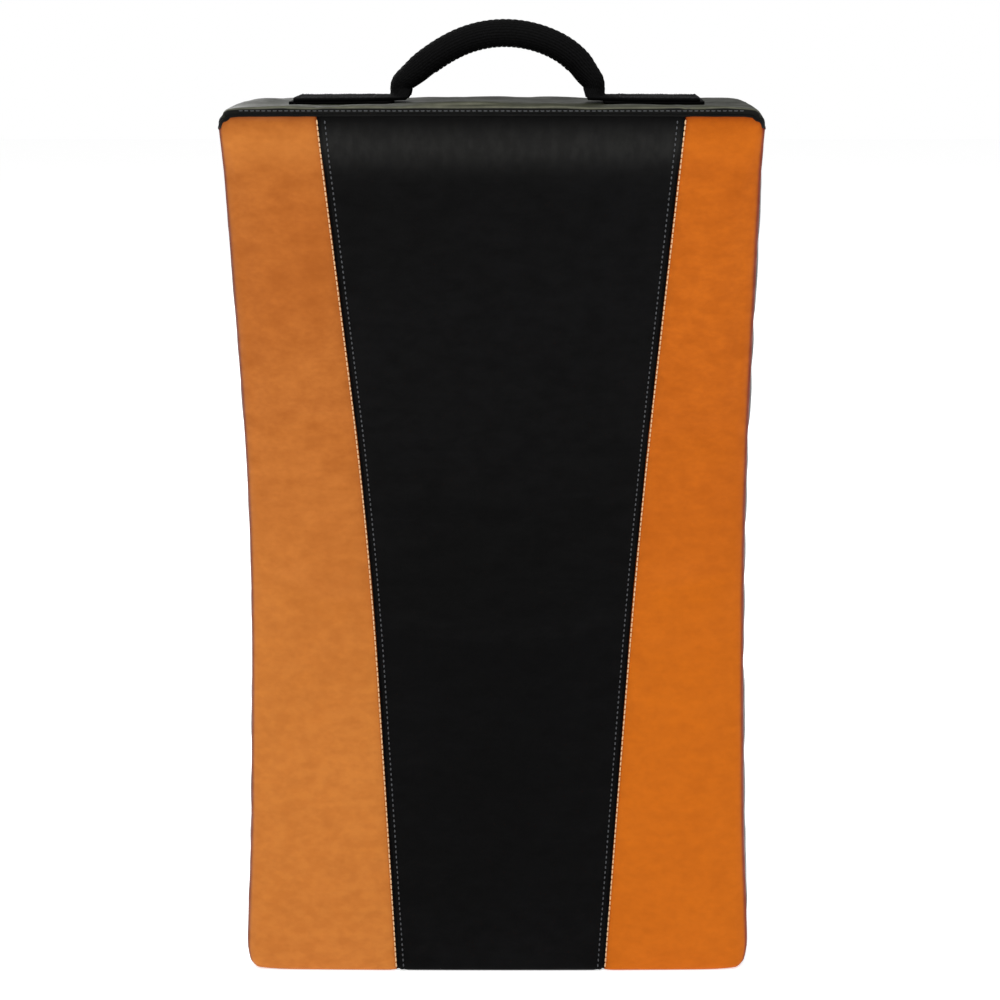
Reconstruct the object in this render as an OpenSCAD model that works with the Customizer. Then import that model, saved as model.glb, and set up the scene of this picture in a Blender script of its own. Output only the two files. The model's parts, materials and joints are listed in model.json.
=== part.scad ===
// Curved kick shield: a sewn leather cover round three foam layers, with a webbing handle
// on top, two on the back, and a zip that lets the foam in.
// +Z is up, the strike face looks along -Y, and the origin is the middle of the flat bottom.

/* [Pad] */
// Width of the pad
pad_w = 356; // [300:1:430]
// Height of the pad, between its flat ends
pad_h = 610; // [500:1:735]
// Thickness of the pad, from strike face to back
pad_t = 120; // [95:1:145]
// How far the middle of the strike face lies behind its ends
curve_depth = 60; // [30:1:72]
// Height of the curved stretch between the two straight arms
bend_h = 210; // [170:1:255]

/* [Cover] */
// Thickness of the leather and vinyl sheets
cover_t = 2; // [1.6:0.1:3]
// Width of the centre panel at the top
centre_top_w = 240; // [180:1:290]
// Width of the centre panel at the bottom
centre_bottom_w = 150; // [110:1:200]
// How far the top gusset rolls down over the strike face
top_roll_h = 6; // [5:0.5:12]
// Diameter of the welt below that roll
welt_d = 3.2; // [2.4:0.1:4]

/* [Foam] */
// Thickness of the dense layer behind the strike face
strike_foam_t = 25; // [15:1:35]
// Thickness of the dense layer at the holder's side
back_foam_t = 20; // [12:1:30]

/* [Webbing] */
// Width of the flat webbing
webbing_w = 50; // [38:1:60]
// Thickness of the flat webbing
webbing_t = 2.4; // [1.6:0.2:3]
// Outer diameter of the webbing where it is rolled into a grip
grip_d = 18; // [15:0.5:22]
// Diameter of the rope inside a grip
rope_d = 12; // [8:0.5:13]
// Thickness of a backing patch under the cover
backing_t = 1.6; // [1:0.2:2.4]
// Length of a flat tail sewn to the cover
tail_l = 64; // [50:1:76]

/* [Top handle] */
// Distance between the two feet
top_span = 132; // [122:1:160]
// Radius of the arch at its top
top_arc_r = 60; // [48:1:66]
// Slope of the straight legs
top_leg_angle = 38; // [34:1:42]

/* [Back handles] */
// Distance between the two feet of one handle
back_span = 150; // [142:1:180]
// Radius of the arch
back_arc_r = 80; // [64:1:88]
// Slope of the straight legs
back_leg_angle = 40; // [36:1:42]
// Distance between the two handles
back_spacing = 150; // [125:1:180]

/* [Zip] */
// Height of the zip above the bottom
zip_z = 60; // [50:1:75]
// Length of the zip's coil
zip_l = 300; // [220:1:300]
// Height of the slot between the two back panels
zip_slot_h = 16; // [14:1:20]
// Width of the coil
coil_w = 5.2; // [4:0.2:6]
// Thickness of the coil
coil_t = 2.6; // [2:0.1:3]
// Length of the slider
slider_l = 13; // [11:1:16]
// Length of the puller
puller_l = 26; // [18:1:32]

/* [Hidden] */
$fn = 64;
// steps in the curved stretch, which is an even number so that one joint lies in the middle
bend_steps = 12;
// running gap between pieces that move past each other
gap = 0.3;
// radius of the bend that turns a grip's leg into its foot
foot_bend_r = 12;
foot_d = grip_d + 0.4;
foot_l = grip_d;
// height of a handle's hinge line above the face that it stands on
foot_h = foot_d / 2 + gap;
rope_fit = 0.2;
welt_gap = 0.05;
// facets of a grip: round it, along each foot's bend and along the top arc
tube_sides = 16;
foot_steps = 3;
arc_steps = 8;

mid_z = pad_h / 2;
bend_share = bend_h / pad_h;
arm_rise = curve_depth / (1 - bend_share / 2);

zip_tape_t = 0.8;
stop_l = 3;
stop_w = coil_w + 1.2;
plate_t = 1.4;
flange_t = 1.1;
flange_gap = 0.7;
bail_d = 1.8;
bail_post = 1.4;
bail_span = slider_l - 4;
eye_d = 4.6;
eye_gap = 0.5;
eye_l = bail_span - bail_post - 2 * eye_gap;
puller_w = 8;
puller_t = 1.6;

orange = "#c8701f";
black = "#1b1b1d";
soot = "#0f0f10";
foam_white = "#e8e4d8";
foam_grey = "#8d9196";
rope_white = "#d8d2c4";
steel = "#9a9ca0";

// ---- the curve that every layer follows ----

// Straight arms joined by a parabola: how far a layer lies back at height z.
function bow(z) =
    let (a = abs(2 * z / pad_h - 1))
    a > bend_share
        ? curve_depth - arm_rise * (a - bend_share / 2)
        : curve_depth - arm_rise * a * a / (2 * bend_share);

bend_zs = [for (i = [0 : bend_steps]) mid_z + bend_h * (i / bend_steps - 0.5)];
BOW = [for (z = concat([0], bend_zs, [pad_h])) [z, bow(z)]];

// The same curve as the flat facets have it, so that layers meet face to face.
function curve_y(z) = lookup(z, BOW);

// Lean of the straight lower arm, from the vertical.
arm_lean = atan(2 * arm_rise / pad_h);

// A layer of the pad: full depth from y0 to y1 at the ends, and bent in between.
module bent_slab(w, y0, y1, z0, z1) {
    zs = concat([z0], [for (z = bend_zs) if (z > z0 && z < z1) z], [z1]);
    n = len(zs);
    near_edge = [for (z = zs) [y0 + curve_y(z), z]];
    far_edge = [for (i = [n - 1 : -1 : 0]) [y1 + curve_y(zs[i]), zs[i]]];
    rotate([90, 0, 90])
        linear_extrude(w, center = true)
            polygon(concat(near_edge, far_edge));
}

front_y = -pad_t / 2;
back_y = pad_t / 2;
front_top_z = pad_h - top_roll_h - welt_d / 2;

// ---- cover ----

module strike_sheet() {
    bent_slab(pad_w, front_y, front_y + cover_t, cover_t, front_top_z);
}

// Outline of the centre panel on the strike face, as seen from the front.
module centre_outline() {
    polygon([
        [-centre_bottom_w / 2, 0], [centre_bottom_w / 2, 0],
        [centre_top_w / 2, pad_h], [-centre_top_w / 2, pad_h]
    ]);
}

module centre_prism() {
    rotate([90, 0, 0])
        linear_extrude(4 * pad_t, center = true)
            centre_outline();
}

module front_centre_panel() {
    color(black)
        intersection() {
            strike_sheet();
            centre_prism();
        }
}

module front_side_panel(side) {
    color(orange)
        intersection() {
            difference() {
                strike_sheet();
                centre_prism();
            }
            translate([side * pad_w / 2, 0, mid_z])
                cube([pad_w, 4 * pad_t, 2 * pad_h], center = true);
        }
}

module top_gusset() {
    color(black) {
        bent_slab(pad_w, front_y, back_y, pad_h - cover_t, pad_h);
        bent_slab(pad_w, front_y, front_y + cover_t, pad_h - top_roll_h + welt_d / 2, pad_h);
    }
}

module bottom_gusset() {
    color(black)
        bent_slab(pad_w, front_y, back_y, 0, cover_t);
}

module side_gusset(side) {
    color(black)
        translate([side * (pad_w - cover_t) / 2, 0, 0])
            bent_slab(cover_t, front_y + cover_t, back_y - cover_t, cover_t, pad_h - cover_t);
}

module back_sheet(z0, z1) {
    color(black)
        bent_slab(pad_w, back_y - cover_t, back_y, z0, z1);
}

// The two back panels close round the ends of the zip.
module back_end_strip(side, z0, z1) {
    strip_w = (pad_w - zip_l) / 2 - stop_l - gap;
    color(black)
        translate([side * (pad_w - strip_w) / 2, 0, 0])
            bent_slab(strip_w, back_y - cover_t, back_y, z0, z1);
}

module back_panel() {
    back_sheet(zip_z + zip_slot_h / 2, pad_h - cover_t);
    for (side = [-1, 1])
        back_end_strip(side, zip_z, zip_z + zip_slot_h / 2);
}

module lower_back_panel() {
    back_sheet(cover_t, zip_z - zip_slot_h / 2);
    for (side = [-1, 1])
        back_end_strip(side, zip_z - zip_slot_h / 2, zip_z);
}

module top_welt() {
    welt_z = pad_h - top_roll_h;
    // The foam behind the welt leans, so the welt stands a little further off it than its radius.
    welt_y = front_y + curve_y(welt_z) + cover_t - (welt_d / 2 + welt_gap) / cos(arm_lean);
    color(soot)
        translate([0, welt_y, welt_z])
            rotate([0, 90, 0])
                cylinder(d = welt_d, h = pad_w, center = true);
}

// ---- foam ----

module foam_layer(y0, y1) {
    bent_slab(pad_w - 2 * cover_t, y0, y1, cover_t, pad_h - cover_t);
}

strike_foam_y = front_y + cover_t;
core_foam_y = strike_foam_y + strike_foam_t;
back_foam_y = back_y - cover_t - back_foam_t;

module strike_foam() {
    color(foam_grey)
        difference() {
            foam_layer(strike_foam_y, core_foam_y);
            top_handle_backing();
        }
}

module core_foam() {
    color(foam_white)
        difference() {
            foam_layer(core_foam_y, back_foam_y);
            top_handle_backing();
        }
}

module back_foam() {
    color(foam_grey)
        difference() {
            foam_layer(back_foam_y, back_y - cover_t);
            for (side = [-1, 1])
                back_handle_backing(side);
        }
}

// ---- handles ----
// In a handle's own frame the feet lie on the X axis, which is also the hinge line,
// and the arch stands up along +Z.

// The straight leg fills what the top arc and the foot's bend leave of the span.
function leg_length(span, arc_r, leg_angle) =
    (span / 2 - arc_r * sin(leg_angle) - foot_bend_r * (1 - sin(leg_angle)))
    / cos(leg_angle);

function arch_rise(span, arc_r, leg_angle) =
    foot_bend_r * cos(leg_angle)
    + leg_length(span, arc_r, leg_angle) * sin(leg_angle)
    + arc_r * (1 - cos(leg_angle));

// Points along the arch, each as [x, z, heading]: up at the first foot, down at the last.
function arch_stations(span, arc_r, leg_angle) =
    let (
        arc_z = arch_rise(span, arc_r, leg_angle) - arc_r,
        bend_x = span / 2 - foot_bend_r,
        bend_turns = [for (i = [0 : foot_steps]) 90 + (leg_angle - 90) * i / foot_steps],
        arc_turns = [for (i = [0 : arc_steps]) leg_angle * (1 - 2 * i / arc_steps)]
    )
    concat(
        [for (t = bend_turns) [-bend_x - foot_bend_r * sin(t), foot_bend_r * cos(t), t]],
        [for (t = arc_turns) [-arc_r * sin(t), arc_z + arc_r * cos(t), t]],
        [for (i = [foot_steps : -1 : 0])
            let (t = -bend_turns[i])
            [bend_x - foot_bend_r * sin(t), foot_bend_r * cos(t), t]]
    );

function ring(station, r) = [
    for (k = [0 : tube_sides - 1])
        let (a = 360 * k / tube_sides)
        [
            station[0] - r * cos(a) * sin(station[2]),
            r * sin(a),
            station[1] + r * cos(a) * cos(station[2])
        ]
];

// A tube swept along the arch, with a hole of radius r_in or solid where r_in is 0.
module arch_tube(span, arc_r, leg_angle, r_out, r_in = 0) {
    stations = arch_stations(span, arc_r, leg_angle);
    last = len(stations) - 1;
    m = tube_sides;
    hollow = r_in > 0;
    outer = [for (s = stations) each ring(s, r_out)];
    inner = hollow ? [for (s = stations) each ring(s, r_in)] : [];
    inside = len(outer);
    outer_skin = [
        for (i = [0 : last - 1], k = [0 : m - 1])
            let (n = (k + 1) % m)
            [i * m + k, i * m + n, (i + 1) * m + n, (i + 1) * m + k]
    ];
    inner_skin = [
        for (i = [0 : last - 1], k = [0 : m - 1])
            let (n = (k + 1) % m)
            [inside + (i + 1) * m + k, inside + (i + 1) * m + n, inside + i * m + n, inside + i * m + k]
    ];
    solid_ends = [
        [for (k = [m - 1 : -1 : 0]) k],
        [for (k = [0 : m - 1]) last * m + k]
    ];
    open_ends = [
        for (k = [0 : m - 1])
            let (n = (k + 1) % m)
            each [
                [n, k, inside + k, inside + n],
                [last * m + k, last * m + n, inside + last * m + n, inside + last * m + k]
            ]
    ];
    polyhedron(
        concat(outer, inner),
        hollow ? concat(outer_skin, inner_skin, open_ends) : concat(outer_skin, solid_ends)
    );
}

// Each foot is a half roll under the hinge line, so that it turns without meeting the cover.
module half_roll() {
    difference() {
        rotate([0, 90, 0])
            cylinder(d = foot_d, h = foot_l, center = true);
        translate([0, 0, foot_d / 2])
            cube([2 * foot_l, 2 * foot_d, foot_d], center = true);
    }
}

module grip(span, arc_r, leg_angle) {
    color(black) {
        arch_tube(span, arc_r, leg_angle, grip_d / 2, rope_d / 2);
        for (side = [-1, 1])
            translate([side * span / 2, 0, 0])
                half_roll();
    }
}

module grip_core(span, arc_r, leg_angle) {
    color(rope_white)
        arch_tube(span, arc_r, leg_angle, (rope_d - rope_fit) / 2);
}

tail_start = foot_l / 2 + gap;

module place_top_handle() {
    translate([0, 0, pad_h + foot_h])
        children();
}

module top_handle_grip() {
    place_top_handle()
        grip(top_span, top_arc_r, top_leg_angle);
}

module top_handle_core() {
    place_top_handle()
        grip_core(top_span, top_arc_r, top_leg_angle);
}

module top_handle_tail(side) {
    color(black)
        translate([side * (top_span / 2 + tail_start + tail_l / 2), 0, pad_h + webbing_t / 2])
            cube([tail_l, webbing_w, webbing_t], center = true);
}

module top_handle_backing() {
    backing_l = top_span + 2 * (tail_start + tail_l);
    color(soot)
        translate([0, 0, pad_h - cover_t - backing_t / 2])
            cube([backing_l, webbing_w, backing_t], center = true);
}

// The back bulges between a handle's feet, so the hinge line clears the inner end of each.
back_hinge_y = back_y + curve_y(mid_z + back_span / 2 - foot_l / 2) + foot_h;

module place_back_handle(side) {
    translate([side * back_spacing / 2, back_hinge_y, mid_z])
        rotate([0, 90, 90])
            children();
}

module back_handle_grip(side) {
    place_back_handle(side)
        grip(back_span, back_arc_r, back_leg_angle);
}

module back_handle_core(side) {
    place_back_handle(side)
        grip_core(back_span, back_arc_r, back_leg_angle);
}

module back_handle_tail(side, end) {
    near_z = mid_z + end * (back_span / 2 + tail_start);
    far_z = near_z + end * tail_l;
    color(black)
        translate([side * back_spacing / 2, 0, 0])
            bent_slab(webbing_w, back_y, back_y + webbing_t, min(near_z, far_z), max(near_z, far_z));
}

module back_handle_backing(side) {
    half_l = back_span / 2 + tail_start + tail_l;
    color(soot)
        translate([side * back_spacing / 2, 0, 0])
            bent_slab(webbing_w, back_y - cover_t - backing_t, back_y - cover_t,
                mid_z - half_l, mid_z + half_l);
}

// ---- zip ----

tape_y = back_y - cover_t;
coil_y = tape_y + zip_tape_t;
slot_l = zip_l + 2 * (stop_l + gap);

module zip_tape(z0, z1) {
    color(soot)
        bent_slab(slot_l, tape_y, coil_y, z0, z1);
}

module zip_coil() {
    color(black)
        bent_slab(zip_l, coil_y, coil_y + coil_t, zip_z - coil_w / 2, zip_z + coil_w / 2);
}

module zip_stops() {
    color(steel)
        for (side = [-1, 1])
            translate([side * (zip_l + stop_l) / 2, 0, 0])
                bent_slab(stop_l, coil_y, coil_y + coil_t + gap, zip_z - stop_w / 2, zip_z + stop_w / 2);
}

// The slider and its puller stand off the leaning back: y is outward from the cover here.
coil_top = (coil_y + coil_t - back_y) * cos(arm_lean);
tape_top = (coil_y - back_y) * cos(arm_lean);
plate_y = coil_top + gap;
bail_y = plate_y + plate_t + gap + eye_d / 2;
slider_x = zip_l / 2 - slider_l / 2 - gap;

module place_slider() {
    translate([slider_x, back_y + curve_y(zip_z), zip_z])
        rotate([-arm_lean, 0, 0])
            children();
}

module zip_slider() {
    flange_z = coil_w / 2 + flange_gap;
    slider_w = 2 * (flange_z + flange_t);
    color(steel)
        place_slider() {
            translate([-slider_l / 2, plate_y, -slider_w / 2])
                cube([slider_l, plate_t, slider_w]);
            for (side = [-1, 1])
                translate([-slider_l / 2, tape_top + gap, side * (flange_z + flange_t / 2) - flange_t / 2])
                    cube([slider_l, plate_y + plate_t - tape_top - gap, flange_t]);
            for (side = [-1, 1])
                translate([side * bail_span / 2 - bail_post / 2, plate_y, -bail_d / 2])
                    cube([bail_post, bail_y - plate_y + bail_d / 2, bail_d]);
            translate([0, bail_y, 0])
                rotate([0, 90, 0])
                    cylinder(d = bail_d, h = bail_span, center = true);
        }
}

// The puller hangs straight down from the bail.
module zip_puller() {
    eye_bore = bail_d + 2 * gap;
    color(steel)
        translate([
            slider_x,
            back_y + curve_y(zip_z) + bail_y * cos(arm_lean),
            zip_z - bail_y * sin(arm_lean)
        ])
            difference() {
                union() {
                    rotate([0, 90, 0])
                        cylinder(d = eye_d, h = eye_l, center = true);
                    translate([-eye_l / 2, -puller_t / 2, -eye_d])
                        cube([eye_l, puller_t, eye_d]);
                    translate([-puller_w / 2, -puller_t / 2, puller_w / 2 - puller_l])
                        cube([puller_w, puller_t, puller_l - puller_w / 2 - eye_d]);
                    translate([0, 0, puller_w / 2 - puller_l])
                        rotate([90, 0, 0])
                            cylinder(d = puller_w, h = puller_t, center = true);
                }
                rotate([0, 90, 0])
                    cylinder(d = eye_bore, h = 2 * eye_l, center = true);
            }
}

front_centre_panel();
front_side_panel(-1);  // front_left_panel
front_side_panel(1);  // front_right_panel
top_gusset();
bottom_gusset();
side_gusset(-1);  // left_gusset
side_gusset(1);  // right_gusset
back_panel();
lower_back_panel();
top_welt();
strike_foam();
core_foam();
back_foam();
top_handle_grip();
top_handle_core();
top_handle_tail(-1);  // top_handle_left_tail
top_handle_tail(1);  // top_handle_right_tail
top_handle_backing();
back_handle_grip(-1);  // left_handle_grip
back_handle_core(-1);  // left_handle_core
back_handle_tail(-1, 1);  // left_handle_upper_tail
back_handle_tail(-1, -1);  // left_handle_lower_tail
back_handle_backing(-1);  // left_handle_backing
back_handle_grip(1);  // right_handle_grip
back_handle_core(1);  // right_handle_core
back_handle_tail(1, 1);  // right_handle_upper_tail
back_handle_tail(1, -1);  // right_handle_lower_tail
back_handle_backing(1);  // right_handle_backing
zip_tape(zip_z, zip_z + zip_slot_h / 2);  // zip_upper_tape
zip_tape(zip_z - zip_slot_h / 2, zip_z);  // zip_lower_tape
zip_coil();
zip_stops();
zip_slider();
zip_puller();
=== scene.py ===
# Looks of the curved kick shield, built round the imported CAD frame. Metres, +Z up, strike face to -Y.
import json
import math

import bpy
import numpy as np
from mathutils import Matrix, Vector
from mathutils.bvhtree import BVHTree
from mathutils.kdtree import KDTree


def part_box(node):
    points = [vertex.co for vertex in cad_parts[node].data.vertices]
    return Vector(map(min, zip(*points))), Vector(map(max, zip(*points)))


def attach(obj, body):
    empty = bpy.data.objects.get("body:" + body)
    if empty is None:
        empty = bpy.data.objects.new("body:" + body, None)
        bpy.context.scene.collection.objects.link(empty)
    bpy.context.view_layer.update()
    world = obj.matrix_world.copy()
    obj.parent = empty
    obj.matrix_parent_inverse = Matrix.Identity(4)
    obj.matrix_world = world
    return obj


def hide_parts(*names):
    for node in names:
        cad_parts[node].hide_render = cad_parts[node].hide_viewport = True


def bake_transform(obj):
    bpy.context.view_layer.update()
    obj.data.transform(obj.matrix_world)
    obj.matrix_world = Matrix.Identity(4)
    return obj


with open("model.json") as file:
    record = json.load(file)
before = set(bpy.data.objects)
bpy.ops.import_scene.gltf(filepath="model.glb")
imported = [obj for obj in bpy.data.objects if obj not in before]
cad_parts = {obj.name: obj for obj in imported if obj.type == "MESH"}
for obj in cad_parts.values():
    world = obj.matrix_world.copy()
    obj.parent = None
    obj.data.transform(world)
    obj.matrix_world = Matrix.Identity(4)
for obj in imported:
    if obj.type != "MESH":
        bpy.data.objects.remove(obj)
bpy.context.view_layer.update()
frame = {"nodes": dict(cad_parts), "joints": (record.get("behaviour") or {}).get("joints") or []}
MM = 0.001
X, Y, Z = (1, 0, 0), (0, 1, 0), (0, 0, 1)

# ---- sizes of the pad, from the frame ----

base_lo, base_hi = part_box("bottom_gusset")
centre_lo, centre_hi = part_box("front_centre_panel")
tape_low, tape_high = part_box("zip_lower_tape")[0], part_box("zip_upper_tape")[1]
HALF_W = base_hi.x
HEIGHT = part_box("top_gusset")[1].z
FRONT, BACK = base_lo.y, base_hi.y
SLOT_HALF = tape_high.x
CURVE_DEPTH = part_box("back_panel")[1].y - base_hi.y
BEND_SHARE = 210 / 610
ARM_RISE = CURVE_DEPTH / (1 - BEND_SHARE / 2)
CENTRE_TOP_W = centre_hi.x - centre_lo.x
CENTRE_BOTTOM_W = 150 * MM
SEAM_Z = HEIGHT - 5.2 * MM
TINY = 1e-9

# ---- how the soft cover departs from the plain CAD box ----

# how far the cover rolls over its edges, and rounds the corners of its outline
SIDE_ROLL = 9 * MM
TOP_ROLL = 2.6 * MM
BOTTOM_ROLL = 4 * MM
LEAST_ROLL = 1 * MM
TOP_CORNER = 12 * MM
BOTTOM_CORNER = 14 * MM
# how far it crowns, and how late towards the edges the crowns turn down
WAIST_IN = 0.8 * MM
TOP_CROWN, TOP_POWER = 1.0 * MM, 12
FRONT_CROWN = 3.0 * MM
CROWN_SHIFT = 1.2 * MM
BACK_CROWN = 2.0 * MM
SIDE_CROWN, SIDE_POWER = 1.2 * MM, 8
# how far the centre panel is sewn off the middle, at the top and at the foot
SHIFT_TOP = 6.4 * MM
SHIFT_BOTTOM = 2.6 * MM
# how far the strike face sags back below its top seam
DROOP, DROOP_REACH = 3.2 * MM, 16 * MM
# how the top seam turns down at the corners, and how much the long seams close in at the foot
SEAM_TURN, SEAM_FADE = 9 * MM, 60 * MM
SEAM_EASE = 1.6 * MM
# how far the cover spreads at the hem and at the top
HEM_SPREAD, HEM_REACH = 2.6 * MM, 110 * MM
TOP_SPREAD, TOP_REACH = 1.6 * MM, 50 * MM


def smooth(t):
    t = np.clip(t, 0, 1)
    return t * t * (3 - 2 * t)


def bow(z):
    """How far back a layer lies at height z: straight arms joined by a parabola."""
    a = np.abs(2 * z / HEIGHT - 1)
    arm = CURVE_DEPTH - ARM_RISE * (a - BEND_SHARE / 2)
    middle = CURVE_DEPTH - ARM_RISE * a * a / (2 * BEND_SHARE)
    return np.where(a > BEND_SHARE, arm, middle)


def seam_x(z):
    """Half the width of the centre panel at height z."""
    share = z / HEIGHT
    width = CENTRE_BOTTOM_W + (CENTRE_TOP_W - CENTRE_BOTTOM_W) * share
    return width / 2 - SEAM_EASE * (1 - share)


def seam_shift(z):
    """How far the hand-sewn centre panel sits off the middle at height z."""
    return SHIFT_BOTTOM + (SHIFT_TOP - SHIFT_BOTTOM) * z / HEIGHT


def waist_scale(z):
    return 1 - WAIST_IN / HALF_W * (1 - (2 * z / HEIGHT - 1) ** 2)


def turned_down(x, z):
    """Heights near the top seam, let down at the sides so that the seam rounds the corner."""
    near_side = np.clip((np.abs(x) - HALF_W + SEAM_TURN) / SEAM_TURN, 0, 1) ** 2
    above = (HEIGHT - z) / (HEIGHT - SEAM_Z)
    below = smooth((z - SEAM_Z + SEAM_FADE) / SEAM_FADE)
    return z - SEAM_TURN * near_side * np.clip(np.minimum(above, below), 0, 1)


def spread(z):
    """How far the cover stands out beyond the plain width near the hem and the top."""
    return HEM_SPREAD * smooth(1 - z / HEM_REACH) + TOP_SPREAD * smooth(1 - (HEIGHT - z) / TOP_REACH)


def in_outline(x, z, half_w, half_h, corner):
    """Points against the outline seen from the front, whose corners are round: their offsets from
    the corner's centre, how deep they lie inside, and the way out."""
    qx, qz = np.abs(x) - (half_w - corner), np.abs(z) - (half_h - corner)
    in_corner = (qx > 0) & (qz > 0)
    scale = np.where(in_corner, np.maximum(qx, qz) / np.maximum(np.hypot(qx, qz), TINY), 1)
    qx, qz = qx * scale, qz * scale
    depth = corner - np.where(in_corner, np.hypot(qx, qz), np.maximum(qx, qz))
    out_x = np.where(in_corner, qx, qx > qz)
    out_z = np.where(in_corner, qz, qx <= qz)
    norm = np.maximum(np.hypot(out_x, out_z), TINY)
    return qx, qz, depth, out_x / norm, out_z / norm


def rolled_edge(y, depth, roll, front, back):
    """Rounds the front and back edges: the new y, and how far points move towards the outline."""
    flat_y = np.clip(y, front + roll, back - roll)
    past, off = np.maximum(roll - depth, 0), y - flat_y
    length = np.maximum(np.hypot(past, off), TINY)
    longest = np.maximum(past, np.abs(off))
    turned = (past > 0) & (np.abs(off) > 0)
    push = np.where(turned, past / length * longest, past) - past
    return flat_y + np.where(turned, off / length * longest, off), push


def crowned(x, y, z):
    """Adds the crowns, the waist, the sag under the top seam and the spread at hem and top."""
    u, v, w = x / HALF_W, 2 * z / HEIGHT - 1, 2 * (y - FRONT) / (BACK - FRONT) - 1
    ahead, behind = np.maximum(-w, 0), np.maximum(w, 0)
    edge_fade = np.sqrt(np.clip(1 - u**2, 0, 1))
    y = y - ahead * (FRONT_CROWN * edge_fade - CROWN_SHIFT)
    y = y + behind * (BACK_CROWN * edge_fade - BACK_CROWN)
    y = y + ahead * DROOP * np.exp(-np.abs(SEAM_Z - z) / DROOP_REACH)
    x = x * waist_scale(z)
    side = np.sign(x) * SIDE_CROWN * np.clip(np.abs(u), 0, 1) ** SIDE_POWER
    x = x + side * (1 - w**2) * (1 - v**SIDE_POWER) - side / 2
    x = x + np.sign(x) * u**2 * spread(z)
    return x, y, z - TOP_CROWN * np.clip(v, 0, 1) ** TOP_POWER * u**2


def body_shape(points, inset=0.0):
    """Turns points on a plain box into points on the rolled, crowned and bent pad."""
    x, y, z = np.array(points, float).T
    z = turned_down(x, z)
    upper = z > HEIGHT / 2
    from_middle = z - HEIGHT / 2
    corner = np.where(upper, TOP_CORNER, BOTTOM_CORNER) - inset
    half_w, half_h = HALF_W - inset, HEIGHT / 2 - inset
    qx, qz, depth, out_x, out_z = in_outline(x, from_middle, half_w, half_h, corner)
    roll = SIDE_ROLL * out_x**2 + np.where(upper, TOP_ROLL, BOTTOM_ROLL) * out_z**2 - inset
    y, push = rolled_edge(y, depth, np.maximum(roll, LEAST_ROLL), FRONT + inset, BACK - inset)
    x = np.sign(x) * (half_w - corner + qx + push * out_x)
    z = HEIGHT / 2 + np.sign(from_middle) * (half_h - corner + qz + push * out_z)
    x, y, z = crowned(x, y, z)
    return np.stack([x, y + bow(z), z], 1)


# ---- the grid of the cover ----

def spaced(anchors, counts):
    """Positions that step evenly from each anchor to the next."""
    out = [anchors[0]]
    for a, b, n in zip(anchors, anchors[1:], counts):
        out += [a + (b - a) * k / n for k in range(1, n + 1)]
    return np.array(out)


GROOVE = 1.6 * MM
LAP = 4.4 * MM
HEM_STEP = 4 * MM
ROW_COUNTS = [4, 5, 1, 1, 58, 1, 1, 3]
DEPTH_COUNTS = [4, 11, 4]
FRONT_COUNTS = [4, 6, 1, 1, 1, 1, 1, 1, 8]
BACK_COUNTS = [4, 2, 1, 1, 16]
COLUMNS = 2 * sum(FRONT_COUNTS) + 1
# where the panels meet, counted in cells
SEAM_COLUMN = sum(FRONT_COUNTS[:4])
SLOT_COLUMN = sum(BACK_COUNTS[:2])
SEAM_ROW = sum(ROW_COUNTS[:-1])
SLOT_ROW = sum(ROW_COUNTS[:2])
GUSSET_FROM = DEPTH_COUNTS[0]

ROWS = spaced(
    [0, BOTTOM_ROLL, tape_low.z, (tape_low.z + tape_high.z) / 2, tape_high.z,
     SEAM_Z - 8 * MM, SEAM_Z - GROOVE, SEAM_Z, HEIGHT],
    ROW_COUNTS,
)
DEPTHS = spaced([FRONT, FRONT + SIDE_ROLL, BACK - SIDE_ROLL, BACK], DEPTH_COUNTS)


def front_columns(z):
    """Columns of the strike face at height z: they follow the long seams and their lapped edges."""
    s, shift = seam_x(z), seam_shift(z)
    lap = [s + 6 * MM, s + 2 * MM, s, s - GROOVE, s - LAP + GROOVE, s - LAP, s - 1.5 * LAP]
    left = [-HALF_W, SIDE_ROLL - HALF_W] + [shift - a for a in lap]
    right = [shift + a for a in lap[::-1]] + [HALF_W - SIDE_ROLL, HALF_W]
    return spaced(left + [shift] + right, FRONT_COUNTS + FRONT_COUNTS[::-1])


def back_columns():
    half = [HALF_W, HALF_W - SIDE_ROLL, SLOT_HALF, SLOT_HALF - HEM_STEP, SLOT_HALF - 2 * HEM_STEP, 0]
    mirrored = [-a for a in half] + half[-2::-1]
    return spaced(mirrored, BACK_COUNTS + BACK_COUNTS[::-1])


def face_grid(kind):
    """Points of one side of the box, by row and column."""
    if kind == "front":
        return np.array([[(x, FRONT, z) for x in front_columns(z)] for z in ROWS])
    if kind == "back":
        return np.array([[(x, BACK, z) for x in back_columns()] for z in ROWS])
    if kind in ("left", "right"):
        x = -HALF_W if kind == "left" else HALF_W
        return np.array([[(x, y, z) for y in DEPTHS] for z in ROWS])
    z = 0.0 if kind == "bottom" else HEIGHT
    pairs = list(zip(front_columns(z), back_columns()))
    shares = (DEPTHS - FRONT) / (BACK - FRONT)
    return np.array([[(a + (b - a) * s, y, z) for a, b in pairs] for y, s in zip(DEPTHS, shares)])


def strike_panel(column):
    if SEAM_COLUMN <= column < COLUMNS - 1 - SEAM_COLUMN:
        return "front_centre_panel"
    return "front_left_panel" if column < SEAM_COLUMN else "front_right_panel"


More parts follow.
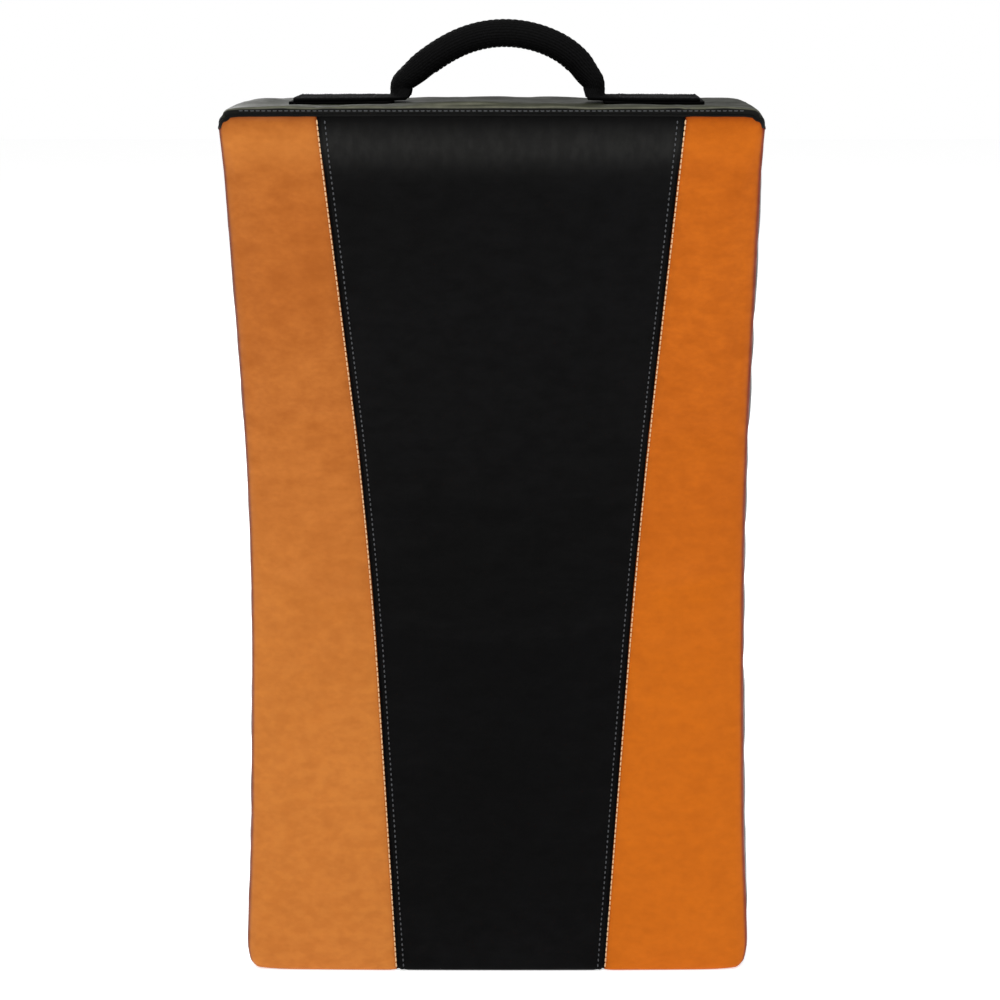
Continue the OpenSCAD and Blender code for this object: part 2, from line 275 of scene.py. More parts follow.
def panel_of(kind, a, b):
    """The panel that holds the cell at row a and column b of a side."""
    if kind == "front":
        return "top_gusset" if a >= SEAM_ROW else strike_panel(b)
    if kind == "back":
        if SLOT_ROW <= a < SLOT_ROW + 2 and SLOT_COLUMN <= b < COLUMNS - 1 - SLOT_COLUMN:
            return "slot"
        return "back_panel" if a > SLOT_ROW else "lower_back_panel"
    if kind in ("left", "right"):
        if a >= SEAM_ROW:
            return "top_gusset"
        return f"front_{kind}_panel" if b < GUSSET_FROM else f"{kind}_gusset"
    if kind == "bottom":
        return strike_panel(b) if a < GUSSET_FROM else "bottom_gusset"
    return "top_gusset"


class Shell:
    """Collects grids of quads whose shared edges are joined."""

    def __init__(self):
        self.verts, self.quads, self.index = [], [], {}

    def vertex(self, p):
        key = tuple(np.round(p, 6))
        if key not in self.index:
            self.index[key] = len(self.verts)
            self.verts.append(p)
        return self.index[key]

    def add(self, grid, flip):
        """Adds a grid of points as quads, and returns the row and column of each quad."""
        ids = [[self.vertex(p) for p in row] for row in grid]
        cells = list(np.ndindex(len(ids) - 1, len(ids[0]) - 1))
        for a, b in cells:
            quad = [ids[a][b], ids[a][b + 1], ids[a + 1][b + 1], ids[a + 1][b]]
            self.quads.append(quad[::-1] if flip else quad)
        return cells


def build_cover():
    """One closed mesh of the whole cover: vertices, quads and the panel of each quad."""
    shell, panels = Shell(), []
    for kind in ("front", "back", "left", "right", "bottom", "top"):
        cells = shell.add(face_grid(kind), flip=kind in ("back", "left", "bottom"))
        panels += [panel_of(kind, a, b) for a, b in cells]
    return body_shape(shell.verts), shell.quads, panels


def add_object(name, data):
    obj = bpy.data.objects.new(name, data)
    bpy.context.scene.collection.objects.link(obj)
    return obj


def new_mesh_object(name, verts, faces, smooth_shading=True):
    mesh = bpy.data.meshes.new(name)
    mesh.from_pydata([tuple(v) for v in verts], [], [list(f) for f in faces])
    mesh.validate()
    if smooth_shading:
        mesh.polygons.foreach_set("use_smooth", [True] * len(mesh.polygons))
    return add_object(name, mesh)


def per_vertex(obj, what):
    values = np.zeros(len(obj.data.vertices) * 3)
    obj.data.vertices.foreach_get(what, values)
    return values.reshape(-1, 3)


def apply_modifiers(obj):
    dg = bpy.context.evaluated_depsgraph_get()
    mesh = bpy.data.meshes.new_from_object(obj.evaluated_get(dg))
    obj.modifiers.clear()
    obj.data = mesh


SIM_FRAMES = 20
SIM_CAP = 4.0 * MM
INWARD_CUT = 0.9


def inflate(verts, quads, pinned):
    """Lets the cover swell between its seams as cloth under pressure, and caps how far it moves."""
    obj = new_mesh_object("cover_sim", verts, quads)
    group = obj.vertex_groups.new(name="seams")
    group.add([int(i) for i in np.nonzero(pinned)[0]], 1.0, "REPLACE")
    cloth = obj.modifiers.new("cloth", "CLOTH")
    s = cloth.settings
    s.quality = 5
    s.mass = 0.4
    s.tension_stiffness = s.compression_stiffness = 18
    s.shear_stiffness = 8
    s.bending_stiffness = 1.5
    s.use_pressure = True
    s.uniform_pressure_force = 4
    s.shrink_min = -0.006
    s.vertex_group_mass = "seams"
    s.effector_weights.gravity = 0
    cloth.collision_settings.use_collision = False
    cloth.point_cache.frame_end = SIM_FRAMES
    scene = bpy.context.scene
    for f in range(1, SIM_FRAMES + 1):
        scene.frame_set(f)
    dg = bpy.context.evaluated_depsgraph_get()
    step = per_vertex(obj.evaluated_get(dg), "co") - verts
    outward = per_vertex(obj, "normal")
    inward = np.minimum((step * outward).sum(1, keepdims=True), 0)
    step = step - INWARD_CUT * inward * outward
    length = np.maximum(np.linalg.norm(step, axis=1, keepdims=True), TINY)
    capped = step / length * SIM_CAP * np.tanh(length / SIM_CAP)
    scene.frame_set(1)
    bpy.data.objects.remove(obj)
    return verts + capped


PANELS = ["front_centre_panel", "front_left_panel", "front_right_panel", "top_gusset", "bottom_gusset",
          "left_gusset", "right_gusset", "back_panel", "lower_back_panel", "slot"]


def seam_vertices(quads, panels, count):
    """Which vertices lie on a seam, which is where cells of two panels meet."""
    first = [None] * count
    on_seam = np.zeros(count, bool)
    for quad, panel in zip(quads, panels):
        for v in quad:
            if first[v] is None:
                first[v] = panel
            elif first[v] != panel:
                on_seam[v] = True
    return on_seam


STRAP_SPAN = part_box("left_handle_upper_tail")[1].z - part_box("left_handle_lower_tail")[0].z
STRAP_X, STRAP_REACH = 75 * MM, 30 * MM
TOP_STRAP_REACH = 145 * MM, 32 * MM
NEAR_TOP, NEAR_BACK, NEAR_BASE = 8 * MM, 10 * MM, 2.5 * MM


def under_webbing(v):
    """Points that lie under the webbing or on the base, which the stuffing can't lift."""
    x, y, z = v.T
    on_top = (np.abs(x) < TOP_STRAP_REACH[0]) & (np.abs(y) < TOP_STRAP_REACH[1])
    near_strap = np.abs(np.abs(x) - STRAP_X) < STRAP_REACH
    on_back = near_strap & (np.abs(z - HEIGHT / 2) < STRAP_SPAN / 2)
    top, back = z > HEIGHT - NEAR_TOP, y - bow(z) > BACK - NEAR_BACK
    return (top & on_top) | (back & on_back) | (z < NEAR_BASE)


def cover_mesh():
    """The finished cover as one object, its faces marked with their panel by material index."""
    verts, quads, panels = build_cover()
    seams = seam_vertices(quads, panels, len(verts))
    verts = inflate(verts, quads, seams | under_webbing(verts))
    obj = new_mesh_object("cover", verts, quads)
    obj.data.polygons.foreach_set("material_index", [PANELS.index(p) for p in panels])
    for name in PANELS:
        obj.data.materials.append(bpy.data.materials.new("mark_" + name))
    obj.modifiers.new("smooth", "SUBSURF").levels = 1
    apply_modifiers(obj)
    return obj


def bump(x, centre, width):
    return np.exp(-(((x - centre) / width) ** 2))


def seam_distance(obj):
    """How far each vertex of the cover lies from the nearest seam."""
    mesh = obj.data
    faces = [p.vertices for p in mesh.polygons]
    on_seam = seam_vertices(faces, [p.material_index for p in mesh.polygons], len(mesh.vertices))
    tree = KDTree(int(on_seam.sum()))
    for v in np.nonzero(on_seam)[0]:
        tree.insert(mesh.vertices[v].co, int(v))
    tree.balance()
    return np.array([tree.find(v.co)[2] for v in mesh.vertices])


def paint_vertices(obj, name, values):
    layer = obj.data.attributes.new(name, "FLOAT", "POINT")
    layer.data.foreach_set("value", np.clip(values, 0, 1).astype(np.float32))


# normal tilts of the painted highlight on the top fold and of the painted shade at the turned edges
FOLD_TILT, FOLD_RANGE = 0.72, 0.2
EDGE_TILT, EDGE_RANGE = 0.9, 0.13


def fold_highlight(normal, z, front):
    """How much painted highlight the fold along the top of the strike face gets, where it turns up to the
    lights.
    """
    on_fold = bump(normal[:, 2], FOLD_TILT, FOLD_RANGE) * (normal[:, 1] < 0)
    return 0.9 * on_fold * front * (z > HEIGHT - 9 * MM)


def edge_shade(normal, z, front):
    """How much painted shade darkens the strike panels where they turn over the sides and the foot, away
    from the lights.
    """
    turned = np.hypot(normal[:, 0], np.minimum(normal[:, 2], 0))
    return 0.9 * front * bump(turned, EDGE_TILT, EDGE_RANGE) * (z < SEAM_Z)


def paint_cover(obj, near, inside, front):
    """Paints shade along the seams, from how far points lie from them, under the welt and at the turned
    edges; paints highlights on the top fold and below the top seam, and the orange panels paler towards
    the foot.
    """
    normal, z = per_vertex(obj, "normal"), per_vertex(obj, "co")[:, 2]
    # painted shade along the seams and under the welt
    along_seams = 0.55 * np.exp(-near / (1.1 * MM))
    under_welt = 0.35 * front * bump(SEAM_Z - z, 0, 6 * MM)
    paint_vertices(obj, "shade", along_seams + under_welt + edge_shade(normal, z, front))
    # painted highlight below the top seam, where the face rolls back towards the light, and the orange
    # panels painted paler towards the foot
    paler_towards_foot = 0.46 * smooth((0.75 - z / HEIGHT) / 0.55) * smooth(-inside / (2 * MM))
    highlight_below_seam = 0.3 * bump(z, SEAM_Z - 20 * MM, 13 * MM)
    paint_vertices(obj, "wear_and_highlight", fold_highlight(normal, z, front) + front * (paler_towards_foot + highlight_below_seam))


def press_seams(obj):
    """Sinks every sewn line into the stuffing, the strike face's the most, and paints the cover."""
    near = seam_distance(obj)
    co = per_vertex(obj, "co")
    x, y, z = co.T
    front = smooth((bow(z) + FRONT + 20 * MM - y) / (10 * MM))
    inside = seam_x(z) - np.abs(x / waist_scale(z) - seam_shift(z))
    below = SEAM_Z - z
    paint_cover(obj, near, inside, front)
    groove = 1.0 * bump(inside, 0.6 * MM, 1.1 * MM)
    lap_row = 0.45 * bump(inside, LAP, 1.3 * MM)
    shoulder = 0.5 * bump(inside, -1.0 * MM, 3.0 * MM)
    long_seams = (groove + lap_row + shoulder) * smooth((below + 1 * MM) / (3 * MM))
    sink = long_seams + 1.1 * bump(below, 0, 2.2 * MM)
    elsewhere = 0.7 * bump(near, 0, 1.8 * MM) + 0.35 * bump(near, 0, 5 * MM)
    elsewhere *= smooth(z / (6 * MM))
    depth = (sink * front + elsewhere * (1 - front)) * MM
    pressed = co - per_vertex(obj, "normal") * depth[:, None]
    obj.data.vertices.foreach_set("co", pressed.ravel())
    obj.data.update()


def surface_tree(obj):
    return BVHTree.FromPolygons(
        [v.co for v in obj.data.vertices], [p.vertices[:] for p in obj.data.polygons]
    )


def cast(tree, origin, direction):
    hit, normal, _, _ = tree.ray_cast(Vector(origin), Vector(direction).normalized())
    return hit, normal


def split_panel(cover, panel):
    """A new object that holds one panel of the cover, as a sheet with real thickness."""
    index = PANELS.index(panel)
    used, faces = {}, []
    for p in cover.data.polygons:
        if p.material_index == index:
            faces.append([used.setdefault(v, len(used)) for v in p.vertices])
    verts = [cover.data.vertices[v].co.copy() for v in used]
    obj = new_mesh_object(panel + "_cover", verts, faces)
    for name in ("shade", "wear_and_highlight"):
        whole = np.zeros(len(cover.data.vertices), np.float32)
        cover.data.attributes[name].data.foreach_get("value", whole)
        paint_vertices(obj, name, whole[list(used)])
    sheet = obj.modifiers.new("sheet", "SOLIDIFY")
    sheet.thickness = 1.5 * MM
    sheet.offset = -1
    apply_modifiers(obj)
    return obj


# ---- materials ----

def linear(r, g=None, b=None):
    """A colour from 0 to 255 in each channel, or a grey from one number."""
    channels = (r, r, r) if g is None else (r, g, b)
    return [((c / 255 + 0.055) / 1.055) ** 2.4 if c > 10 else c / 255 / 12.92 for c in channels] + [1]


def grey(value):
    return value, value, value, 1


class Nodes:
    """A small helper that builds one material's node tree."""

    def __init__(self, name):
        self.material = bpy.data.materials.new(name)
        self.material.use_nodes = True
        self.tree = self.material.node_tree
        self.shader = self.tree.nodes["Principled BSDF"]
        self.coords = self.tree.nodes.new("ShaderNodeTexCoord")

    def add(self, kind, inputs=(), **settings):
        node = self.tree.nodes.new("ShaderNode" + kind)
        for key, value in settings.items():
            setattr(node, key, value)
        for key, value in dict(inputs).items():
            if isinstance(value, bpy.types.NodeSocket):
                self.tree.links.new(value, node.inputs[key])
            else:
                node.inputs[key].default_value = value
        return node

    def link(self, socket, name):
        self.tree.links.new(socket, self.shader.inputs[name])

    def set(self, **values):
        for key, value in values.items():
            self.shader.inputs[key.replace("_", " ")].default_value = value

    def place(self, scale=(1, 1, 1), source="Object"):
        return self.add("Mapping", {"Vector": self.coords.outputs[source], "Scale": scale}).outputs[0]

    def noise(self, scale, detail, stretch=(1, 1, 1)):
        inputs = {"Vector": self.place(stretch), "Scale": scale, "Detail": detail}
        return self.add("TexNoise", inputs).outputs["Fac"]

    def cells(self, scale):
        return self.add("TexVoronoi", {"Vector": self.place(), "Scale": scale}).outputs["Distance"]

    def waves(self, scale, distortion, direction, source="Object"):
        inputs = {"Vector": self.place(source=source), "Scale": scale, "Distortion": distortion}
        return self.add("TexWave", inputs, bands_direction=direction).outputs["Fac"]

    def painted(self, name):
        """What paint_vertices left on the mesh."""
        return self.add("Attribute", attribute_name=name).outputs["Fac"]

    def ramp(self, fac, low, high, colours=None):
        node = self.add("ValToRGB", {"Fac": fac})
        ends = node.color_ramp.elements
        ends[0].position, ends[1].position = low, high
        if colours:
            ends[0].color, ends[1].color = colours
        return node.outputs["Color"]

    def math(self, operation, a, b):
        return self.add("Math", {0: a, 1: b}, operation=operation).outputs[0]

    def mix(self, fac, a, b, blend="MIX"):
        node = self.add("Mix", {0: fac, 6: a, 7: b}, data_type="RGBA", blend_type=blend)
        return node.outputs[2]

    def bumps(self, *layers):
        """Chains (height, distance in metres, strength) bumps into the shader's normal."""
        normal = None
        for height, distance, strength in layers:
            inputs = {"Height": height, "Distance": distance, "Strength": strength}
            if normal is not None:
                inputs["Normal"] = normal
            normal = self.add("Bump", inputs).outputs[0]
        self.link(normal, "Normal")


def leather(name, base, pale, dark, wear_and_highlight_colour, specular, gloss=(0.42, 0.58), mottle=0.5, grain=0.25,
            wrinkles=(1, 1, 1.5)):
    """Smooth coated leather: blotches, mottling, speckles, fine grain and soft creases, with the painted
    highlights, paling and painted shade that paint_cover leaves on the mesh.
    """
    n = Nodes(name)
    blotch = n.ramp(n.noise(5, 2), 0.35, 0.68)
    mottling = n.ramp(n.noise(70, 6, (1, 1, 1.6)), 0.35, 0.7)
    speckle = n.ramp(n.noise(230, 5, (1, 1, 1.5)), 0.38, 0.66)
    wrinkle = n.ramp(n.noise(110, 6, wrinkles), 0.4, 0.64)
    crease = n.noise(22, 8, (0.7, 0.7, 4.5))
    pits = n.noise(420, 3)
    colour = n.mix(blotch, base, pale)
    colour = n.mix(n.math("MULTIPLY", mottling, mottle), colour, dark)
    colour = n.mix(n.math("MULTIPLY", speckle, 0.5 * mottle), colour, dark)
    colour = n.mix(n.ramp(crease, 0.62, 0.75, [grey(0), grey(0.35)]), colour, pale)
    # painted highlights and paling, broken up by the wrinkles, then painted shade
    patchiness = n.math("ADD", n.math("MULTIPLY", wrinkle, 0.3), 0.7)
    colour = n.mix(n.math("MULTIPLY", n.painted("wear_and_highlight"), patchiness), colour, wear_and_highlight_colour)
    colour = n.mix(n.painted("shade"), colour, dark, "MULTIPLY")
    n.link(colour, "Base Color")
    n.link(n.ramp(mottling, 0, 1, [grey(g) for g in gloss]), "Roughness")
    n.set(Specular_IOR_Level=specular)
    n.bumps((n.cells(520), 0.12 * MM, grain), (pits, 0.16 * MM, 0.45), (crease, 0.9 * MM, 0.5))
    return n.material


def webbing(name, base, pale):
    """Heavy black webbing: twisted threads that run across the ribs."""
    n = Nodes(name)
    threads = n.waves(190, 1.5, "X", "UV")
    picks = n.waves(260, 1.0, "Y", "UV")
    fuzz = n.noise(900, 3)
    n.link(n.mix(n.math("MULTIPLY", threads, fuzz), base, pale), "Base Color")
    n.set(Roughness=0.8, Specular_IOR_Level=0.06)
    n.bumps((threads, 0.25 * MM, 0.6), (picks, 0.2 * MM, 0.5), (fuzz, 0.1 * MM, 0.4))
    return n.material


def thread(name, base, pale):
    n = Nodes(name)
    twist = n.noise(1500, 2, (1, 1, 3))
    n.link(n.mix(twist, base, pale), "Base Color")
    n.set(Roughness=0.7, Specular_IOR_Level=0.25)
    n.bumps((twist, 0.1 * MM, 0.6))
    return n.material


def foam(name, base, pale):
    n = Nodes(name)
    pores = n.cells(420)
    n.link(n.mix(n.ramp(pores, 0.1, 0.6), base, pale), "Base Color")
    n.set(Roughness=0.95, Specular_IOR_Level=0.1)
    n.bumps((pores, 0.6 * MM, 0.8))
    return n.material


def cloth(name, base, pale):
    n = Nodes(name)
    weave = n.waves(420, 0.6, "DIAGONAL")
    n.link(n.mix(weave, base, pale), "Base Color")
    n.set(Roughness=0.9, Specular_IOR_Level=0.15, Sheen_Weight=0.1)
    n.bumps((weave, 0.2 * MM, 0.6))
    return n.material


def metal(name, base, dark):
    n = Nodes(name)
    wear_and_highlight = n.ramp(n.noise(240, 5), 0.45, 0.7)
    n.link(n.mix(wear_and_highlight, base, dark), "Base Color")
    n.link(n.ramp(wear_and_highlight, 0, 1, [grey(0.28), grey(0.45)]), "Roughness")
    n.set(Metallic=1.0)
    n.bumps((n.noise(900, 3), 0.05 * MM, 0.3))
    return n.material


def nylon(name, base, pale):
    n = Nodes(name)
    n.link(n.mix(n.noise(600, 3), base, pale), "Base Color")
    n.set(Roughness=0.45, Specular_IOR_Level=0.3)
    n.bumps((n.noise(1200, 2), 0.05 * MM, 0.3))
    return n.material


LEFT_ORANGE = leather("orange_leather_left", linear(170, 92, 27), linear(182, 106, 40),
                      linear(144, 73, 16), wear_and_highlight_colour=linear(216, 137, 62), specular=0.1, mottle=0.45)
RIGHT_ORANGE = leather("orange_leather_right", linear(178, 87, 10), linear(190, 97, 16),
                       linear(154, 73, 8), wear_and_highlight_colour=linear(208, 110, 22), specular=0.07, mottle=0.45)
BLACK_LEATHER = leather("black_leather", linear(8), linear(11, 11, 12), linear(5),
                        wear_and_highlight_colour=linear(62, 62, 60), gloss=(0.45, 0.6), specular=0.035, grain=0.45,
                        wrinkles=(1.7, 1, 0.9))
BLACK_VINYL = leather("black_vinyl", linear(12), linear(19, 20, 18), linear(7),
                      wear_and_highlight_colour=linear(60, 60, 56), gloss=(0.3, 0.45), specular=0.26, grain=0.5)
# the top faces of the top gusset: black vinyl painted olive-grey, a painted sheen of the bright
# surroundings reflected in it
TOP_VINYL_PAINTED_SHEEN = leather("top_vinyl_painted_sheen", linear(30, 32, 19), linear(48, 51, 32), linear(15, 16, 10),
                    wear_and_highlight_colour=linear(120, 120, 102), gloss=(0.35, 0.5), specular=0.14, grain=0.25)
BAND_VINYL = leather("band_vinyl", linear(9), linear(14, 14, 13), linear(6),
                     wear_and_highlight_colour=linear(118, 118, 108), gloss=(0.5, 0.62), specular=0.08, grain=0.3)
WEBBING = webbing("black_webbing", linear(3), linear(20, 20, 21))
PALE_THREAD = thread("pale_thread", linear(206, 156, 108), linear(234, 198, 156))
# black thread painted grey: a painted sheen of the light on it
BLACK_THREAD_PAINTED_SHEEN = thread("black_thread_painted_sheen", linear(50, 52, 56), linear(88, 90, 92))
BLACK_THREAD = thread("black_thread", linear(26, 26, 27), linear(48, 48, 50))
DENSE_FOAM = foam("grey_foam", linear(112, 116, 120), linear(156, 160, 164))
SOFT_FOAM = foam("white_foam", linear(206, 202, 188), linear(238, 235, 224))
BACKING_CLOTH = cloth("backing_cloth", linear(14, 14, 15), linear(38, 38, 40))
TAPE_CLOTH = cloth("zip_tape", linear(10, 10, 11), linear(32, 32, 34))
ROPE = cloth("rope", linear(120, 112, 98), linear(156, 148, 132))
ZIP_NYLON = nylon("zip_nylon", linear(18, 18, 19), linear(40, 40, 42))
ZIP_METAL = metal("zip_metal", linear(150, 150, 154), linear(96, 96, 100))


def finish_piece(obj, material, slot, body="shield"):
    obj.data.materials.clear()
    obj.data.materials.append(material)
    if body:
        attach(obj, body)


# ---- the cover, panel by panel ----

cover = cover_mesh()
press_seams(cover)
cover_tree = surface_tree(cover)

PANEL_LOOKS = {
    "front_centre_panel": (BLACK_LEATHER, "black_leather"),
    "front_left_panel": (LEFT_ORANGE, "orange_leather"),
    "front_right_panel": (RIGHT_ORANGE, "orange_leather"),
    "top_gusset": (TOP_VINYL_PAINTED_SHEEN, "black_vinyl"),
}
PLAIN_LOOK = (BLACK_VINYL, "black_vinyl")
BAND_TILT = 0.35


def dull_band(obj):
    """Gives the upright band of the top gusset the duller finish of the folded binding, without the
    painted sheen of the top faces.
    """
    obj.data.materials.append(BAND_VINYL)
    for p in obj.data.polygons:
        if p.normal.z < BAND_TILT:
            p.material_index = 1


for panel in PANELS:
    if panel == "slot":
        continue
    piece = split_panel(cover, panel)
    finish_piece(piece, *PANEL_LOOKS.get(panel, PLAIN_LOOK))
    if panel == "top_gusset":
        dull_band(piece)
    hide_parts(panel)


# ---- foam inside the cover ----

FOAM_INSET = 3.4 * MM
FOAM_SIDE, FOAM_END = 15 * MM, 16 * MM


def foam_block(name, material, slot):
    """A layer of foam that follows the cover from inside."""
    lo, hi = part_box(name)
    edge, side_in = HALF_W - FOAM_INSET, HALF_W - FOAM_SIDE
    front, back = max(lo.y, FRONT + FOAM_INSET), min(hi.y - CURVE_DEPTH, BACK - FOAM_INSET)
    xs = spaced([-edge, -side_in, side_in, edge], [3, 16, 3])
    ys = spaced([front, back], [6])
    zs = spaced([FOAM_INSET, FOAM_END, HEIGHT - FOAM_END, HEIGHT - FOAM_INSET], [3, 40, 3])
    shell = Shell()
    sides = [([[(x, y, z) for x in xs] for z in zs], y == back) for y in (front, back)]
    sides += [([[(x, y, z) for y in ys] for z in zs], x < 0) for x in (-edge, edge)]
    sides += [([[(x, y, z) for x in xs] for y in ys], z == FOAM_INSET) for z in (zs[0], zs[-1])]
    for grid, flip in sides:
        shell.add(grid, flip)
    obj = new_mesh_object(name + "_block", body_shape(shell.verts, FOAM_INSET), shell.quads, False)
    finish_piece(obj, material, slot)
    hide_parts(name)


foam_block("strike_foam", DENSE_FOAM, "dense_foam")
foam_block("core_foam", SOFT_FOAM, "soft_foam")
foam_block("back_foam", DENSE_FOAM, "dense_foam")


# ---- stitching ----

class Strand:
    """Collects many small swept tubes into one mesh."""

    def __init__(self, sides=6):
        self.sides, self.verts, self.faces = sides, [], []

    def tube(self, points, radii, up):
        """A closed tube along points; up gives the direction that is never along it."""
        pts = np.array(points, float)
        start, m = len(self.verts), self.sides
        ahead = np.gradient(pts, axis=0)
        for p, t, r in zip(pts, ahead, radii):
            t = t / max(np.linalg.norm(t), TINY)
            a = np.cross(t, up)
            a = a / max(np.linalg.norm(a), TINY)
            b = np.cross(a, t)
            for k in range(m):
                turn = 2 * math.pi * k / m
                self.verts.append(p + r * (math.cos(turn) * a + math.sin(turn) * b))
        last = len(pts) - 1
        for i in range(last):
            for k in range(m):
                n = (k + 1) % m
                self.faces.append([start + i * m + k, start + (i + 1) * m + k,
                                   start + (i + 1) * m + n, start + i * m + n])
        self.faces.append([start + k for k in range(m)])
        self.faces.append([start + last * m + k for k in reversed(range(m))])

    def stitch(self, a, b, normal, radius):
        """One stitch: it dips into the leather at both ends and stands proud between."""
        a, b, normal = np.array(a), np.array(b), np.array(normal)
        shares = (0.0, 0.16, 0.5, 0.84, 1.0)
        lifts = (-0.9, 0.25, 0.55, 0.25, -0.9)
        widths = (0.55, 0.95, 1.0, 0.95, 0.55)
        points = [a + (b - a) * t + normal * radius * lift for t, lift in zip(shares, lifts)]
        self.tube(points, [radius * w for w in widths], normal)

    def object(self, name):
        return new_mesh_object(name, self.verts, self.faces)


def travelled(points):
    """How far along a polyline each of its points lies."""
    steps = np.linalg.norm(np.diff(points, axis=0), axis=1)
    return np.concatenate([[0], np.cumsum(steps)])


def along(points, pitch):
    """Evenly spaced positions along a polyline, a whole number of steps about one pitch apart."""
    length = travelled(points)
    where = np.linspace(0, length[-1], max(2, round(length[-1] / pitch)) + 1)
    return np.stack([np.interp(where, length, column) for column in np.array(points).T], 1)


def sew(strand, guides, direction, tree, pitch=3.7 * MM, radius=0.5 * MM, share=0.78):
    """Lays a row of stitches on the surface that rays from the guide points meet."""
    hits = [cast(tree, g, direction) for g in guides]
    points = [(np.array(h), np.array(n)) for h, n in hits if h is not None]
    if len(points) < 2:
        return
    spots = along([p for p, _ in points], pitch)
    normals = np.array([n for _, n in points])
    index = np.linspace(0, len(points) - 1, len(spots)).round().astype(int)
    for a, b, k in zip(spots, spots[1:], index):
        gap = (b - a) * (1 - share) / 2
        strand.stitch(a + gap, b - gap, normals[k], radius)


# the ways rays are cast onto the strike face and the back, and how far away they start
AHEAD, BEHIND = (0, 1, 0), (0, -1, 0)
FAR = 1.0


def seam_guides(side, offset, low, high):
    """Points before the strike face that follow a long seam, offset towards the black panel."""
    zs = np.linspace(low, high, 160)
    x = (seam_shift(zs) + side * (seam_x(zs) - offset)) * waist_scale(zs)
    return [(a, -FAR, z) for a, z in zip(x, zs)]


def strike_face_stitching():
    pale, grey = Strand(), Strand()
    for side in (-1, 1):
        sew(pale, seam_guides(side, -0.9 * MM, 3 * MM, SEAM_Z - 3 * MM), AHEAD, cover_tree,
            radius=0.55 * MM, share=0.84)
        sew(grey, seam_guides(side, LAP, 3 * MM, SEAM_Z - 3 * MM), AHEAD, cover_tree,
            radius=0.52 * MM, share=0.48)
    finish_piece(pale.object("side_seam_stitching"), PALE_THREAD, "orange_leather")
    finish_piece(grey.object("centre_panel_stitching"), BLACK_THREAD_PAINTED_SHEEN, "black_leather")


def top_stitching():
    """A row along the gusset's band above the welt."""
    strand = Strand()
    xs = np.linspace(-HALF_W + 14 * MM, HALF_W - 14 * MM, 120)
    band_z = (SEAM_Z + HEIGHT) / 2
    sew(strand, [(x, -FAR, band_z) for x in xs], AHEAD, cover_tree, radius=0.38 * MM, share=0.7)
    finish_piece(strand.object("top_gusset_stitching"), BLACK_THREAD_PAINTED_SHEEN, "black_vinyl")


strike_face_stitching()
top_stitching()


# ---- welt along the top seam ----

WELT_SHARE = 0.36
WELT_SINK = 0.5


def welt():
    """Piping along the top seam, from one back corner round the strike face to the other."""
    lo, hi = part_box("top_welt")
    radius = WELT_SHARE * (hi.z - lo.z)
    turn = SIDE_ROLL
    flat = [(-HALF_W, y) for y in np.linspace(BACK - SIDE_ROLL, FRONT + turn, 24)]
    flat += [(-HALF_W + turn - turn * math.cos(a), FRONT + turn - turn * math.sin(a))
             for a in np.linspace(0.15, math.pi / 2, 8)]
    flat += [(x, FRONT) for x in np.linspace(-HALF_W + turn, 0, 30)[1:]]
    flat += [(-x, y) for x, y in flat[-2::-1]]
    centre = body_shape([(x, y, SEAM_Z) for x, y in flat])
    out = np.cross(np.gradient(centre, axis=0), Z)
    out /= np.linalg.norm(out, axis=1, keepdims=True)
    path = []
    for p, o in zip(centre, out):
        hit, _ = cast(cover_tree, p + o * 30 * MM, -o)
        path.append((np.array(hit) if hit is not None else p) - o * radius * WELT_SINK)
    radii = [radius * 0.5] + [radius] * (len(path) - 2) + [radius * 0.5]
    strand = Strand(12)
    strand.tube(path, radii, Z)
    piece = strand.object("top_welt_piping")
    finish_piece(piece, BAND_VINYL, "black_vinyl")
    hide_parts("top_welt")


welt()


# ---- webbing handles ----

JOINTS = {j["name"]: j for j in frame["joints"]}
WEB_T = 2.0 * MM
WEB_HALF = 24.5 * MM
LAYERS = 2
# the ribs: a herringbone, set by its pitch, the width of its columns and its height
RIB_PITCH = 4.2 * MM
RIB_COLUMN = 6.2 * MM
RIB_H = 0.45 * MM
# the roll: its radius, how far its curl has come at three places, and how it flattens at the foot
CURL_R = WEB_HALF / (math.pi * 0.985)
CURL_TAIL, CURL_BENT, CURL_HINGE = 0.2, 0.64, 0.8
CURL_CLOSED, CLOSED_AT = 1.012, 16 * MM
FOOT_SQUEEZE, FOOT_IN = 0.3, 2.5 * MM
FOOT_BEND = 3.5 * MM
ARCH_BEND = 6 * MM
TAIL_SHORT = 2 * MM
# heights above the hinge line, at which build_handle works out two points that nothing uses
BLEND_LOW, BLEND_HIGH = -6.5 * MM, 6 * MM
ROPE_LAY = 2.6 * MM
ROPE_STRAND = 2.7 * MM
ROPE_TURN = 34 * MM
# how far off the middle the cover's height under the webbing is measured
PROBE = 20 * MM


class Place:
    """A handle's own axes in the frame: along its feet, across the webbing and up off the cover."""

    def __init__(self, joint, along, across, up, span, arc, slope, skew=0.0, shift=0.0):
        self.hinge = np.array(JOINTS[joint]["pos_m"]) + shift * np.array(along, float)
        self.axes = np.array([along, across, up], float)
        self.span, self.arc, self.slope = span, arc, math.radians(slope)
        self.skew = skew

    def world(self, u, s, w):
        return self.hinge + np.stack([u, s, w], -1) @ self.axes

    def ground(self, u, s):
        """How high the cover stands at u, s, from the hinge line."""
        origin = self.world(u, s, 100 * MM)
        hit, _ = cast(cover_tree, origin, -self.axes[2])
        return float((np.array(hit) - self.hinge) @ self.axes[2])


